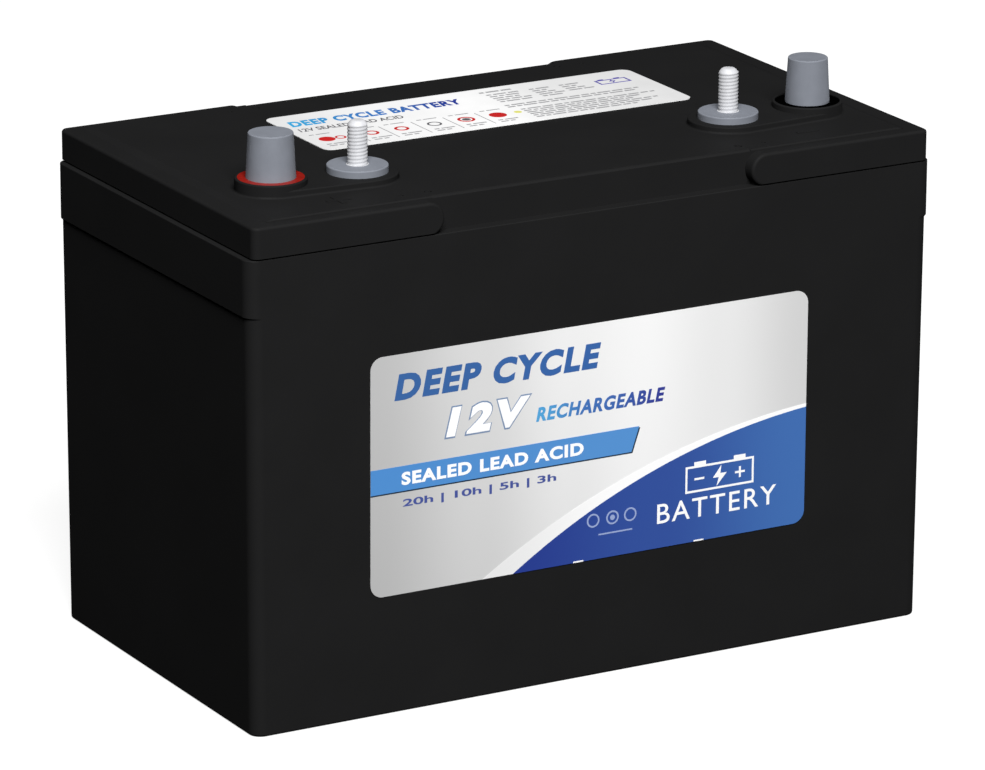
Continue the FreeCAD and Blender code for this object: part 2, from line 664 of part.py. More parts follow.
def make_negative_strap(cell):
    return make_strap(cell, -positive_side(cell), 1 if cell < CELL_COUNT else 0)


def make_intercell_welds():
    return Part.makeCompound([weld_plug(cell, WELD_RADIUS) for cell in CELLS if cell < CELL_COUNT])


# ---- all the pieces -------------------------------------------------------------------
def make_pieces():
    pieces = {
        "case": make_case(),
        "lid": make_lid(),
        "valve_cover": make_valve_cover(),
        "front_label": make_front_label(),
        "top_label": make_top_label(),
        "intercell_welds": make_intercell_welds(),
    }
    for name, side in (("positive", -1), ("negative", 1)):
        pieces[name + "_post"] = make_post(side)
        pieces[name + "_riser"] = make_riser(side)
        pieces[name + "_post_seal"] = make_post_seal(side)
        pieces[name + "_ring"] = make_ring(side)
        pieces[name + "_stud_pad"] = make_stud_pad(side)
        pieces[name + "_stud"] = make_stud(side)
        pieces[name + "_link"] = make_link(side)
    for cell in CELLS:
        pieces["relief_valve_%d" % cell] = make_relief_valve(cell)
        pieces["positive_plates_%d" % cell] = make_positive_plates(cell)
        pieces["negative_plates_%d" % cell] = make_negative_plates(cell)
        pieces["separators_%d" % cell] = make_separators(cell)
        pieces["positive_strap_%d" % cell] = make_positive_strap(cell)
        pieces["negative_strap_%d" % cell] = make_negative_strap(cell)
    return pieces


def main():
    os.makedirs("parts", exist_ok=True)
    for name, shape in make_pieces().items():
        box = shape.BoundBox
        print("%-20s solids %d valid %s volume %.1f cm3 z %.2f to %.2f" % (
            name, len(shape.Solids), shape.isValid(), shape.Volume / 1000, box.ZMin, box.ZMax))
        shape.exportStep("parts/%s.step" % name)


main()
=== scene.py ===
# %% [markdown]
# # A deep cycle battery
# A 12 volt storage battery is a tall moulded box with a welded lid. Two tapered lead posts and
# two threaded studs stand on the lid, and two printed labels are stuck on. The solid pieces come
# from the CAD frame. This script gives every piece its finish, and models what the frame leaves
# plain: the threads of the studs and the print on the labels.

import math

import bmesh
import bpy
from mathutils import Matrix, Vector


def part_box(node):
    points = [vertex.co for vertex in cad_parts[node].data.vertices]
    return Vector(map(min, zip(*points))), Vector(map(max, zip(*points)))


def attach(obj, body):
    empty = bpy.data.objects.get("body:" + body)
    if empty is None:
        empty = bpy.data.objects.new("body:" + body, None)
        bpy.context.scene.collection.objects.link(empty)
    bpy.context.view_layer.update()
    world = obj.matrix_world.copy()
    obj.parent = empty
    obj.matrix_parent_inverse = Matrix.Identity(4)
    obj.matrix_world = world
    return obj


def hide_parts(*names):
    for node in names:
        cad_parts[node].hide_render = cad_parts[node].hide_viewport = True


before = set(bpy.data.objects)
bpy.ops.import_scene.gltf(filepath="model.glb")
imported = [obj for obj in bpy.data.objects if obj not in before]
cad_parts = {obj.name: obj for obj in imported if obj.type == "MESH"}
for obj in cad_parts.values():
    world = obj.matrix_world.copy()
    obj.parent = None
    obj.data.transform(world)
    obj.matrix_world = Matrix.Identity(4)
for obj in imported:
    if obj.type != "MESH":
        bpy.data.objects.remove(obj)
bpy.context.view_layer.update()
MM = 0.001
BODY = "battery"
print("pieces in the frame:", len(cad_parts))


# %% [markdown]
# ## Small helpers for materials
# Every finish here is a node tree on the Principled shader. These helpers add the nodes that all
# of them share, so that each material below only says what is special about it. Patterns read
# Object coordinates, which are metres in the battery's own frame, so a scale of 1000 means one
# unit of pattern per millimetre.

# %% Helpers for materials
def srgb(red, green, blue):
    """A colour as a paint chart gives it, 0 to 255, in the linear values that the shader takes."""
    def linear(value):
        share = value / 255
        return share / 12.92 if share <= 0.04045 else ((share + 0.055) / 1.055) ** 2.4
    return (linear(red), linear(green), linear(blue), 1.0)


def new_finish(name, color, roughness, metallic=0.0, specular=0.5):
    """A material with a Principled shader: returns it, its tree and the shader."""
    material = bpy.data.materials.new(name)
    material.use_nodes = True
    tree = material.node_tree
    shader = tree.nodes["Principled BSDF"]
    shader.inputs["Base Color"].default_value = color
    shader.inputs["Roughness"].default_value = roughness
    shader.inputs["Metallic"].default_value = metallic
    shader.inputs["Specular IOR Level"].default_value = specular
    return material, tree, shader


def place_socket(tree):
    """Object coordinates, shared by all the patterns of one material."""
    for node in tree.nodes:
        if node.type == "TEX_COORD":
            return node.outputs["Object"]
    return tree.nodes.new("ShaderNodeTexCoord").outputs["Object"]


def grain(tree, size_mm, detail=2.0, roughness=0.5, stretch=(1, 1, 1)):
    """Noise whose features are about size_mm across, stretched along an axis if asked."""
    mapping = tree.nodes.new("ShaderNodeMapping")
    mapping.inputs["Scale"].default_value = stretch
    tree.links.new(place_socket(tree), mapping.inputs["Vector"])
    noise = tree.nodes.new("ShaderNodeTexNoise")
    noise.inputs["Scale"].default_value = 1 / (size_mm * MM)
    noise.inputs["Detail"].default_value = detail
    noise.inputs["Roughness"].default_value = roughness
    tree.links.new(mapping.outputs["Vector"], noise.inputs["Vector"])
    return noise.outputs["Fac"]


def spread(tree, socket, low, high, from_low=0.3, from_high=0.7):
    """Map a 0 to 1 pattern to a range of values."""
    ranger = tree.nodes.new("ShaderNodeMapRange")
    ranger.inputs["From Min"].default_value = from_low
    ranger.inputs["From Max"].default_value = from_high
    ranger.inputs["To Min"].default_value = low
    ranger.inputs["To Max"].default_value = high
    tree.links.new(socket, ranger.inputs["Value"])
    return ranger.outputs["Result"]


def blend_colors(tree, factor, first, second):
    """Mix two colours, each a tuple or a socket, by a factor socket."""
    mix = tree.nodes.new("ShaderNodeMix")
    mix.data_type = "RGBA"
    tree.links.new(factor, mix.inputs["Factor"])
    for key, color in (("A", first), ("B", second)):
        socket = [s for s in mix.inputs if s.name == key and s.type == "RGBA"][0]
        if isinstance(color, tuple):
            socket.default_value = color
        else:
            tree.links.new(color, socket)
    return [s for s in mix.outputs if s.type == "RGBA"][0]


def add_bump(tree, shader, socket, height_mm, strength=1.0):
    """Bump from a pattern; a second call stacks on the first."""
    bump = tree.nodes.new("ShaderNodeBump")
    bump.inputs["Strength"].default_value = strength
    bump.inputs["Distance"].default_value = height_mm * MM
    tree.links.new(socket, bump.inputs["Height"])
    if shader.inputs["Normal"].is_linked:
        tree.links.new(shader.inputs["Normal"].links[0].from_socket, bump.inputs["Normal"])
    tree.links.new(bump.outputs["Normal"], shader.inputs["Normal"])


def color_along(tree, axis, stops):
    """A ramp of colours along X, Y or Z: stops are (place in metres, colour)."""
    parts = tree.nodes.new("ShaderNodeSeparateXYZ")
    tree.links.new(place_socket(tree), parts.inputs["Vector"])
    first, last = stops[0][0], stops[-1][0]
    share = spread(tree, parts.outputs[axis], 0.0, 1.0, first, last)
    ramp = tree.nodes.new("ShaderNodeValToRGB")
    ramp.color_ramp.interpolation = "EASE"
    while len(ramp.color_ramp.elements) < len(stops):
        ramp.color_ramp.elements.new(0.5)
    for element, (place, color) in zip(ramp.color_ramp.elements, stops):
        element.position = (place - first) / (last - first)
        element.color = color
    tree.links.new(share, ramp.inputs["Fac"])
    return ramp.outputs["Color"]


def finish_node(material, *names):
    """Give carried-over CAD pieces a finish; their shapes stay as they are."""
    for name in names:
        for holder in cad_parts[name].material_slots:
            holder.material = material


# %% [markdown]
# ## Moulded polypropylene
# The container and the lid are black polypropylene. It is never quite one colour: the mould is
# spark-eroded, which leaves a grain a few tenths of a millimetre across, and the skin has broad
# duller and shinier patches where the plastic flowed. A fine noise in the bump makes the grain,
# and a broad one moves the colour and the roughness a little. The lid has a finer, shallower
# grain than the container, and a duller skin.

# %% Black plastic
PATCH_MM = 28


def make_moulded_plastic(name, color, roughness, grain_mm, grain_height_mm, specular):
    """Moulded plastic: flow patches PATCH_MM across, and a grain of the given size and height."""
    material, tree, shader = new_finish(name, color, roughness, specular=specular)
    broad = grain(tree, PATCH_MM, detail=3.0)
    lighter = tuple(channel * 1.05 for channel in color[:3]) + (1.0,)
    darker = tuple(channel * 0.97 for channel in color[:3]) + (1.0,)
    tree.links.new(blend_colors(tree, spread(tree, broad, 0, 1), darker, lighter), shader.inputs["Base Color"])
    tree.links.new(spread(tree, broad, roughness - 0.02, roughness + 0.02), shader.inputs["Roughness"])
    add_bump(tree, shader, grain(tree, grain_mm, detail=3.0), grain_height_mm)
    return material


BLACK = (0.0116, 0.0116, 0.0118, 1.0)
container_plastic = make_moulded_plastic("container_polypropylene", BLACK, 0.55, 0.55, 0.018, 0.06)
lid_plastic = make_moulded_plastic("lid_polypropylene", BLACK, 0.60, 0.4, 0.010, 0.035)
finish_node(container_plastic, "case")
finish_node(lid_plastic, "lid", "valve_cover")

# %% [markdown]
# ## Cast lead
# The posts, the stud pads and everything inside that carries current is lead. Fresh cast lead is
# a dull blue grey. It is metal, but its surface oxidises within hours, so a mirror finish would
# be wrong. Here it is nearly all diffuse, faintly mottled by a noise, and the posts have the fine
# rings that the mould's turned cavity leaves round them.

# %% Lead
def make_lead(name, color, rings):
    """Dull cast lead, with the turning marks of the mould if rings is set."""
    material, tree, shader = new_finish(name, color, 0.6, metallic=0.05, specular=0.15)
    patches = grain(tree, 5, detail=4.0)
    bright = tuple(channel * 1.04 for channel in color[:3]) + (1.0,)
    dull = tuple(channel * 0.96 for channel in color[:3]) + (1.0,)
    tree.links.new(blend_colors(tree, spread(tree, patches, 0, 1), dull, bright), shader.inputs["Base Color"])
    tree.links.new(spread(tree, patches, 0.55, 0.65), shader.inputs["Roughness"])
    add_bump(tree, shader, grain(tree, 0.5, detail=3.0), 0.02)
    if rings:
        add_bump(tree, shader, grain(tree, 0.35, detail=1.0, stretch=(0.02, 0.02, 1)), 0.015)
    return material


LEAD = (0.186, 0.199, 0.229, 1.0)
post_lead = make_lead("post_lead", LEAD, rings=True)
cast_lead = make_lead("cast_lead", LEAD, rings=False)
sides = ("positive", "negative")
cells = range(1, 7)
finish_node(post_lead, *[side + "_post" for side in sides])
finish_node(cast_lead, *[side + "_stud_pad" for side in sides])
finish_node(cast_lead, *[side + part for side in sides for part in ("_riser", "_link")], "intercell_welds")
finish_node(cast_lead, *["%s_strap_%d" % (side, cell) for side in sides for cell in cells])

# %% [markdown]
# ## Marker rings and rubber
# A red ring in the mouth of the collar marks the positive post, and a black one the negative.
# They are thin stamped plastic, the red one slightly shiny and the black one quite dull. The
# relief caps and the post seals are soft rubber: nearly black, rough, with no clear highlight.

# %% Rings, caps and seals
def make_soft_plastic(name, color, roughness, grain_mm, specular=0.3):
    """A dull plastic or rubber with soft clouds in its colour and roughness."""
    material, tree, shader = new_finish(name, color, roughness, specular=specular)
    cloud = grain(tree, 3, detail=2.0)
    tree.links.new(spread(tree, cloud, roughness - 0.06, roughness + 0.06), shader.inputs["Roughness"])
    deeper = tuple(channel * 0.8 for channel in color[:3]) + (1.0,)
    tree.links.new(blend_colors(tree, spread(tree, cloud, 0, 1), deeper, color), shader.inputs["Base Color"])
    add_bump(tree, shader, grain(tree, grain_mm), 0.01)
    return material


finish_node(make_soft_plastic("red_ring_plastic", srgb(138, 24, 15), 0.45, 0.4), "positive_ring")
finish_node(make_soft_plastic("black_ring_plastic", (0.0004, 0.0004, 0.0004, 1.0), 0.6, 0.4, 0.0), "negative_ring")
cap_rubber = make_soft_plastic("cap_rubber", (0.012, 0.012, 0.012, 1.0), 0.75, 0.3)
finish_node(cap_rubber, *["relief_valve_%d" % cell for cell in cells], *[side + "_post_seal" for side in sides])

# %% [markdown]
# ## Plates and glass mats
# These are sealed inside, and show only when the case or the lid is hidden. The positive plates
# are a dark brown oxide paste, the negative ones grey spongy lead, and the mats white glass felt
# with fibres that run every way.

# %% Plates and mats
def make_felt(name, dark, light, fibre_mm):
    """A rough, fibrous or pasty block between two tones."""
    material, tree, shader = new_finish(name, light, 0.9, specular=0.2)
    fibres = grain(tree, fibre_mm, detail=6.0, roughness=0.7, stretch=(1, 1, 0.4))
    tree.links.new(blend_colors(tree, spread(tree, fibres, 0, 1), dark, light), shader.inputs["Base Color"])
    add_bump(tree, shader, fibres, 0.15)
    return material


positive_paste = make_felt("positive_paste", (0.045, 0.018, 0.010, 1), (0.085, 0.036, 0.020, 1), 1.2)
negative_paste = make_felt("negative_paste", (0.14, 0.15, 0.16, 1), (0.24, 0.25, 0.26, 1), 1.2)
glass_felt = make_felt("glass_felt", (0.55, 0.55, 0.52, 1), (0.82, 0.82, 0.80, 1), 0.8)
for stack, material in (("positive_plates", positive_paste), ("negative_plates", negative_paste),
                        ("separators", glass_felt)):
    finish_node(material, *["%s_%d" % (stack, cell) for cell in cells])

# %% [markdown]
# ## Threaded studs
# Each stud is a 5/16 inch steel stud with 18 threads to the inch. The frame draws it as a plain
# cylinder at its outer diameter, so here it gets its real thread. One pitch of the thread's
# outline is spun about the stud's axis while it climbs, which makes the whole helix, and the
# turns are merged where they meet. Planes then cut the helix flat at the foot and just below the
# tip. Near the tip every point is held inside a cone, which runs the thread out as a chamfer, and
# the round edge that is left is drawn in twice to a small domed end.

# %% Thread the studs
INCH = 0.0254
PITCH = INCH / 18
CREST = 3.97 * MM
ROOT = CREST - 0.16 * PITCH
FLAT = PITCH / 8
TURN_STEPS = 40
SHANK_RADIUS = 4.4 * MM
SHANK_SIDES = 48
END_RADIUS = 2.9 * MM
CHAMFER_SLOPE = 0.9
DOME_HEIGHT = 0.5 * MM
DOME_STEPS = ((0.65, 0.84), (0.35, 0.6))     # share of the dome's height, share of the radius
WELD = 1e-6
ZINC_DULL, ZINC_BRIGHT = (0.53, 0.535, 0.555, 1), (0.57, 0.575, 0.595, 1)


def zinc_finish():
    """Pale zinc plating, slightly cloudy."""
    material, tree, shader = new_finish("bright_zinc", ZINC_BRIGHT, 0.45, metallic=0.05, specular=0.2)
    cloud = grain(tree, 1.5, detail=3.0)
    tree.links.new(spread(tree, cloud, 0.40, 0.50), shader.inputs["Roughness"])
    tree.links.new(blend_colors(tree, spread(tree, cloud, 0, 1), ZINC_DULL, ZINC_BRIGHT), shader.inputs["Base Color"])
    add_bump(tree, shader, grain(tree, 0.2), 0.006)
    return material


def climb_thread(bm, x, y, foot, tip):
    """Spin one pitch of thread outline up the stud, from just under foot to just over tip."""
    flank = (PITCH - 2 * FLAT) / 2
    heights = (0, flank, flank + FLAT, 2 * flank + FLAT, PITCH)
    radii = (ROOT, CREST, CREST, ROOT, ROOT)
    start = foot - 2 * PITCH
    outline = [bm.verts.new((x + r, y, start + h)) for r, h in zip(radii, heights)]
    edges = [bm.edges.new(pair) for pair in zip(outline, outline[1:])]
    turns = math.ceil((tip - start) / PITCH) + 1
    bmesh.ops.spin(bm, geom=outline + edges, cent=(x, y, 0), axis=(0, 0, 1),
                   dvec=(0, 0, PITCH / TURN_STEPS), angle=2 * math.pi * turns,
                   steps=TURN_STEPS * turns, use_merge=False)
    bmesh.ops.remove_doubles(bm, verts=bm.verts[:], dist=WELD)


def cut_level(bm, height, keep_above):
    """Cut everything at one height, and return the edges of the opening."""
    bmesh.ops.bisect_plane(bm, geom=bm.verts[:] + bm.edges[:] + bm.faces[:], plane_co=(0, 0, height),
                           plane_no=(0, 0, 1), clear_inner=keep_above, clear_outer=not keep_above)
    bmesh.ops.remove_doubles(bm, verts=bm.verts[:], dist=WELD)
    return [e for e in bm.edges if e.is_boundary and all(abs(v.co.z - height) < WELD for v in e.verts)]


def draw_in(bm, edges, centre, rise, factor):
    """Extrude an opening's edge upwards and in towards the axis; returns the new edge."""
    made = bmesh.ops.extrude_edge_only(bm, edges=edges)["geom"]
    verts = [g for g in made if isinstance(g, bmesh.types.BMVert)]
    for vert in verts:
        vert.co.x = centre[0] + (vert.co.x - centre[0]) * factor
        vert.co.y = centre[1] + (vert.co.y - centre[1]) * factor
        vert.co.z += rise
    return [g for g in made if isinstance(g, bmesh.types.BMEdge)]


def keep_mesh(bm, name, material, smooth_angle=None):
    """Turn a finished bmesh into an object on the battery, at the origin."""
    bmesh.ops.recalc_face_normals(bm, faces=bm.faces[:])
    mesh = bpy.data.meshes.new(name)
    bm.to_mesh(mesh)
    bm.free()
    mesh.materials.append(material)
    piece = bpy.data.objects.new(name, mesh)
    bpy.context.scene.collection.objects.link(piece)
    if smooth_angle is None:
        mesh.shade_flat()
    else:
        mesh.shade_smooth()
        mesh.set_sharp_from_angle(angle=math.radians(smooth_angle))
    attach(piece, BODY)
    return piece


def hold_in_cone(bm, x, y, cut_height):
    """Pull the points near the tip in towards the axis, until they are inside the chamfer's cone."""
    for vertex in bm.verts:
        reach = Vector((vertex.co.x - x, vertex.co.y - y))
        allowed = END_RADIUS + max(cut_height - vertex.co.z, 0) * CHAMFER_SLOPE
        if reach.length > allowed:
            reach *= allowed / reach.length
            vertex.co.x, vertex.co.y = x + reach.x, y + reach.y


def make_stud(side, material):
    """A threaded stud in place of the frame's plain one: thread, domed end and smooth shank."""
    low, high = (Vector(corner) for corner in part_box(side + "_stud"))
    pad_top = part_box(side + "_stud_pad")[1][2]
    x, y = (low.x + high.x) / 2, (low.y + high.y) / 2
    bm = bmesh.new()
    climb_thread(bm, x, y, pad_top, high.z)
    foot_edges = cut_level(bm, pad_top, keep_above=True)
    bmesh.ops.holes_fill(bm, edges=foot_edges)
    rim = cut_level(bm, high.z - DOME_HEIGHT, keep_above=False)
    hold_in_cone(bm, x, y, high.z - DOME_HEIGHT)
    for rise, factor in DOME_STEPS:
        rim = draw_in(bm, rim, (x, y), DOME_HEIGHT * rise, factor)
    bmesh.ops.holes_fill(bm, edges=rim)
    shank_height = pad_top - low.z
    shank = bmesh.ops.create_cone(bm, cap_ends=True, segments=SHANK_SIDES, radius1=SHANK_RADIUS,
                                  radius2=SHANK_RADIUS, depth=shank_height)
    bmesh.ops.translate(bm, verts=shank["verts"], vec=(x, y, low.z + shank_height / 2))
    piece = keep_mesh(bm, side + "_stud_threaded", material, smooth_angle=50)
    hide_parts(side + "_stud")
    print(piece.name, "faces", len(piece.data.polygons))


zinc = zinc_finish()
for side in sides:
    make_stud(side, zinc)

# %% [markdown]
# ## The printed films
# The labels are glossy printed film. The front one is silver, dark at its left end and bright
# right of the middle, which is printed shading, so it belongs in the colour and not in the light.
# Two ramps along the label make it, one for its lower edge and one for its upper part, blended by
# height. The top one is white with one weaker ramp. A faint fine noise in the bump keeps the film
# from looking like glass.

# %% Label films
FILM_ROUGHNESS = 0.32
FILM_SPECULAR = 0.3
SILVER_UPPER = ((0, 184), (0.25, 211), (0.45, 232), (0.62, 240), (0.8, 228), (1, 206))
SILVER_LOWER = ((0, 178), (0.25, 202), (0.45, 222), (0.62, 236), (0.8, 231), (1, 212))
SILVER_BLEND_END = 0.8      # share of the label's height where the upper ramp is reached
WHITE_TONES = ((0, 226), (0.3, 242), (0.5, 248), (0.75, 230), (1, 224))


def add_film_gloss(tree, shader):
    """The slightly uneven gloss of printed film, which the inks on it share."""
    tree.links.new(spread(tree, grain(tree, 12, detail=2.0), FILM_ROUGHNESS - 0.04, FILM_ROUGHNESS + 0.04),
                   shader.inputs["Roughness"])
    add_bump(tree, shader, grain(tree, 0.6, detail=2.0), 0.003)


def gray_ramp(tree, box, grays):
    """A ramp of grays along a label: grays are (share of its length, gray from 0 to 255)."""
    low_x, high_x = box[0][0], box[1][0]
    return color_along(tree, "X", [(low_x + share * (high_x - low_x), srgb(g, g, g)) for share, g in grays])


def make_silver_film(box):
    material, tree, shader = new_finish("silver_label_film", srgb(225, 225, 225), FILM_ROUGHNESS,
                                        specular=FILM_SPECULAR)
    low_z, high_z = box[0][2], box[1][2]
    upper = gray_ramp(tree, box, SILVER_UPPER)
    lower = gray_ramp(tree, box, SILVER_LOWER)
    up = tree.nodes.new("ShaderNodeSeparateXYZ")
    tree.links.new(place_socket(tree), up.inputs["Vector"])
    share = spread(tree, up.outputs["Z"], 0.0, 1.0, low_z, low_z + SILVER_BLEND_END * (high_z - low_z))
    tree.links.new(blend_colors(tree, share, lower, upper), shader.inputs["Base Color"])
    add_film_gloss(tree, shader)
    return material


def make_white_film(box):
    material, tree, shader = new_finish("white_label_film", srgb(230, 230, 230), FILM_ROUGHNESS,
                                        specular=FILM_SPECULAR)
    tree.links.new(gray_ramp(tree, box, WHITE_TONES), shader.inputs["Base Color"])
    add_film_gloss(tree, shader)
    return material


front_box, top_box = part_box("front_label"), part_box("top_label")
finish_node(make_silver_film(front_box), "front_label")
finish_node(make_white_film(top_box), "top_label")


# %% [markdown]
# ## Laying ink on a label
# Print is a layer of ink a few hundredths of a millimetre thick. Each printed shape starts as a
# flat outline in the units of its artwork, which are nearly millimetres, with u along the label
# from its lower left corner and v up it. The outline is thickened into a film and laid on the
# label's face, which stretches the artwork to fit. The front wall leans a little, so its label's
# frame takes its tilt from the label's own largest face.

# %% The labels' frames
INK = 0.03 * MM


def label_frame(node, outward, artwork):
    """A matrix from artwork units (u, v, millimetres off the film) to the battery's frame."""
    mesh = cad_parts[node].data
    face = max(mesh.polygons, key=lambda p: p.area * p.normal.dot(outward))
    axes = [Vector((1, 0, 0)), face.normal.cross(Vector((1, 0, 0))).normalized(), face.normal.normalized()]
    reach = [[vertex.co.dot(axis) for vertex in mesh.vertices] for axis in axes]
    corner = axes[0] * min(reach[0]) + axes[1] * min(reach[1]) + axes[2] * max(reach[2])
    fit = [(max(reach[k]) - min(reach[k])) / artwork[k] for k in (0, 1)] + [MM]
    columns = Matrix([axis * size for axis, size in zip(axes, fit)]).transposed()
    return Matrix.Translation(corner) @ columns.to_4x4()


FRONT_ARTWORK = (199.3, 98.5)
TOP_ARTWORK = (169.6, 54.5)
front_sheet = label_frame("front_label", Vector((0, -1, 0)), FRONT_ARTWORK)
top_sheet = label_frame("top_label", Vector((0, 0, 1)), TOP_ARTWORK)
print("front label corner", front_sheet.translation, "top label corner", top_sheet.translation)


def print_shape(bm, sheet, name, ink, layer=1):
    """Thicken flat faces into a film of ink, and lay it on a label, over the layers below it."""
    film = INK / MM
    bmesh.ops.remove_doubles(bm, verts=bm.verts[:], dist=1e-4)
    bmesh.ops.recalc_face_normals(bm, faces=bm.faces[:])
    made = bmesh.ops.extrude_face_region(bm, geom=bm.faces[:])["geom"]
    bmesh.ops.translate(bm, verts=[g for g in made if isinstance(g, bmesh.types.BMVert)], vec=(0, 0, film * layer))
    bmesh.ops.transform(bm, matrix=sheet, verts=bm.verts[:])
    return keep_mesh(bm, name, ink)


def add_bar(bm, u, v, width, height):
    """A flat rectangle from its lower left corner."""
    made = bmesh.ops.create_grid(bm, x_segments=1, y_segments=1, size=0.5)["verts"]
    bmesh.ops.scale(bm, verts=made, vec=(width, height, 1))
    bmesh.ops.translate(bm, verts=made, vec=(u + width / 2, v + height / 2, 0))


def add_disc(bm, u, v, radius, hole=0.0, segments=40):
    """A flat disc, or a ring when it has a hole."""
    rim = bmesh.ops.create_circle(bm, cap_ends=not hole, radius=radius, segments=segments)["verts"]
    bmesh.ops.translate(bm, verts=rim, vec=(u, v, 0))
    if hole:
        inner = bmesh.ops.create_circle(bm, cap_ends=False, radius=hole, segments=segments)["verts"]
        bmesh.ops.translate(bm, verts=inner, vec=(u, v, 0))
        loops = {edge for vert in rim + inner for edge in vert.link_edges}
        bmesh.ops.bridge_loops(bm, edges=list(loops))


def add_polygon(bm, points):
    """A flat shape from its corners, in order."""
    bm.faces.new([bm.verts.new((u, v, 0)) for u, v in points])


# %% [markdown]
# ## Inks
# Printed blue is denser at one end of a word or a field than at the other, so those inks are
# ramps along the label. The rest are plain printed tones with the film's gloss.

# %% Ink colours
def make_ink(name, stops):
    """An ink of one colour, or of several along the label: stops are (place in metres, colour)."""
    material, tree, shader = new_finish(name, stops[0][1], FILM_ROUGHNESS, specular=FILM_SPECULAR)
    if len(stops) > 1:
        tree.links.new(color_along(tree, "X", list(stops)), shader.inputs["Base Color"])
    add_film_gloss(tree, shader)
    return material


def along(box, share):
    """The place in metres at a share of a label's length."""
    return box[0][0] + share * (box[1][0] - box[0][0])


heading_ink = make_ink("heading_ink", ((along(front_box, 0.05), srgb(58, 98, 156)),
                                       (along(front_box, 0.52), srgb(56, 98, 162))))
tagline_ink = make_ink("tagline_ink", ((along(front_box, 0.37), srgb(80, 160, 212)),
                                       (along(front_box, 0.5), srgb(62, 108, 178)),
                                       (along(front_box, 0.67), srgb(52, 60, 145))))
stripe_ink = make_ink("stripe_ink", ((along(front_box, 0.0), srgb(78, 138, 202)),
                                     (along(front_box, 0.6), srgb(84, 142, 204))))
field_ink = make_ink("field_ink", ((along(front_box, 0.32), srgb(41, 60, 139)),
                                   (along(front_box, 0.65), srgb(51, 79, 152)),
                                   (along(front_box, 1.0), srgb(65, 108, 174))))
white_ink = make_ink("white_ink", ((0, srgb(250, 250, 250)),))
border_ink = make_ink("border_ink", ((along(front_box, 0.25), srgb(228, 228, 228)),
                                     (along(front_box, 0.6), srgb(250, 250, 250))))
outline_ink = make_ink("outline_ink", ((0, srgb(120, 140, 170)),))
shadow_ink = make_ink("shadow_ink", ((0, srgb(28, 44, 62)),))
figures_ink = make_ink("figures_ink", ((0, srgb(70, 84, 150)),))
pale_ink = make_ink("pale_ink", ((0, srgb(150, 165, 205)),))

# %% [markdown]
# ## Lettering
# Words come from Blender's own font, which is light. A text object is laid flat and thickened by
# its offset, with the letters set further apart so that they don't touch. It is then made into a
# mesh, slanted, and stretched to the exact width and height that the print has, which is how a
# sign writer fits a word to a panel.

# %% Lettering helper
def write_word(sheet, name, words, u, v, width, height, ink, slant=0.0, weight=0.0, gaps=1.0, layer=1):
    """Print words with their lower left corner at (u, v) and the given width and capital height."""
    curve = bpy.data.curves.new(name, "FONT")
    curve.body = words
    curve.offset = weight
    curve.space_character = gaps
    curve.resolution_u = 4
    text = bpy.data.objects.new(name, curve)
    bpy.context.scene.collection.objects.link(text)
    bpy.context.view_layer.update()
    mesh = bpy.data.meshes.new_from_object(text)
    bpy.data.objects.remove(text)
    bpy.data.curves.remove(curve)
    bm = bmesh.new()
    bm.from_mesh(mesh)
    bpy.data.meshes.remove(mesh)
    low_x, high_x = (pick(vert.co.x for vert in bm.verts) for pick in (min, max))
    low_y, high_y = (pick(vert.co.y for vert in bm.verts) for pick in (min, max))
    lean = math.tan(math.radians(slant)) * height
    grow_x, grow_y = (width - lean) / (high_x - low_x), height / (high_y - low_y)
    bmesh.ops.translate(bm, verts=bm.verts[:], vec=(-low_x, -low_y, 0))
    bmesh.ops.scale(bm, verts=bm.verts[:], vec=(grow_x, grow_y, 1))
    for vert in bm.verts:
        vert.co.x += vert.co.y / height * lean
    bmesh.ops.translate(bm, verts=bm.verts[:], vec=(u, v, 0))
    return print_shape(bm, sheet, name, ink, layer)


# %% [markdown]
# ## The front label's blue field
# The lower right of the label is a blue field under a large arc, with a white border that fades
# towards the middle. Both are the part of a large circle that falls on the label: the circle is
# made whole, planes trim it at the label's edges, and the corner is rounded to match the film.

# %% Blue field and its border
WIDTH = FRONT_ARTWORK[0]
LABEL_CORNER = 5.5
ARC_STEPS = 900


def make_arc_field(name, centre, radius, ink, layer):
    """The part of a large disc that falls on the front label."""
    bm = bmesh.new()
    rim = bmesh.ops.create_circle(bm, cap_ends=True, radius=radius, segments=ARC_STEPS)["verts"]
    bmesh.ops.translate(bm, verts=rim, vec=(centre[0], centre[1], 0))
    edges = (((0, 0, 0), (0, -1, 0)), ((WIDTH, 0, 0), (1, 0, 0)), ((0, 0, 0), (-1, 0, 0)))
    for point, outward in edges:
        bmesh.ops.bisect_plane(bm, geom=bm.verts[:] + bm.edges[:] + bm.faces[:], plane_co=point,
                               plane_no=outward, clear_outer=True)
    corner = [v for v in bm.verts if (v.co - Vector((WIDTH, 0, 0))).length < 0.01]
    bmesh.ops.bevel(bm, geom=corner, offset=LABEL_CORNER, segments=10, profile=0.5, affect="VERTICES", material=-1)
    return print_shape(bm, front_sheet, name, ink, layer)


make_arc_field("front_label_border", (225.6, -272.5), 324.2, border_ink, 1)
make_arc_field("front_label_field", (227.0, -238.4), 288.9, field_ink, 2)

# %% [markdown]
# ## The front label's words and stripe
# The stripe runs in from the left edge and ends on a slant, over a dark edge that is printed
# half a millimetre down and to the right. The words are generic ones for this kind of battery.

# %% Stripe and words
STRIPE_LOW, STRIPE_HIGH, STRIPE_END, STRIPE_SLANT = 42.5, 52.8, 117.7, 3.5


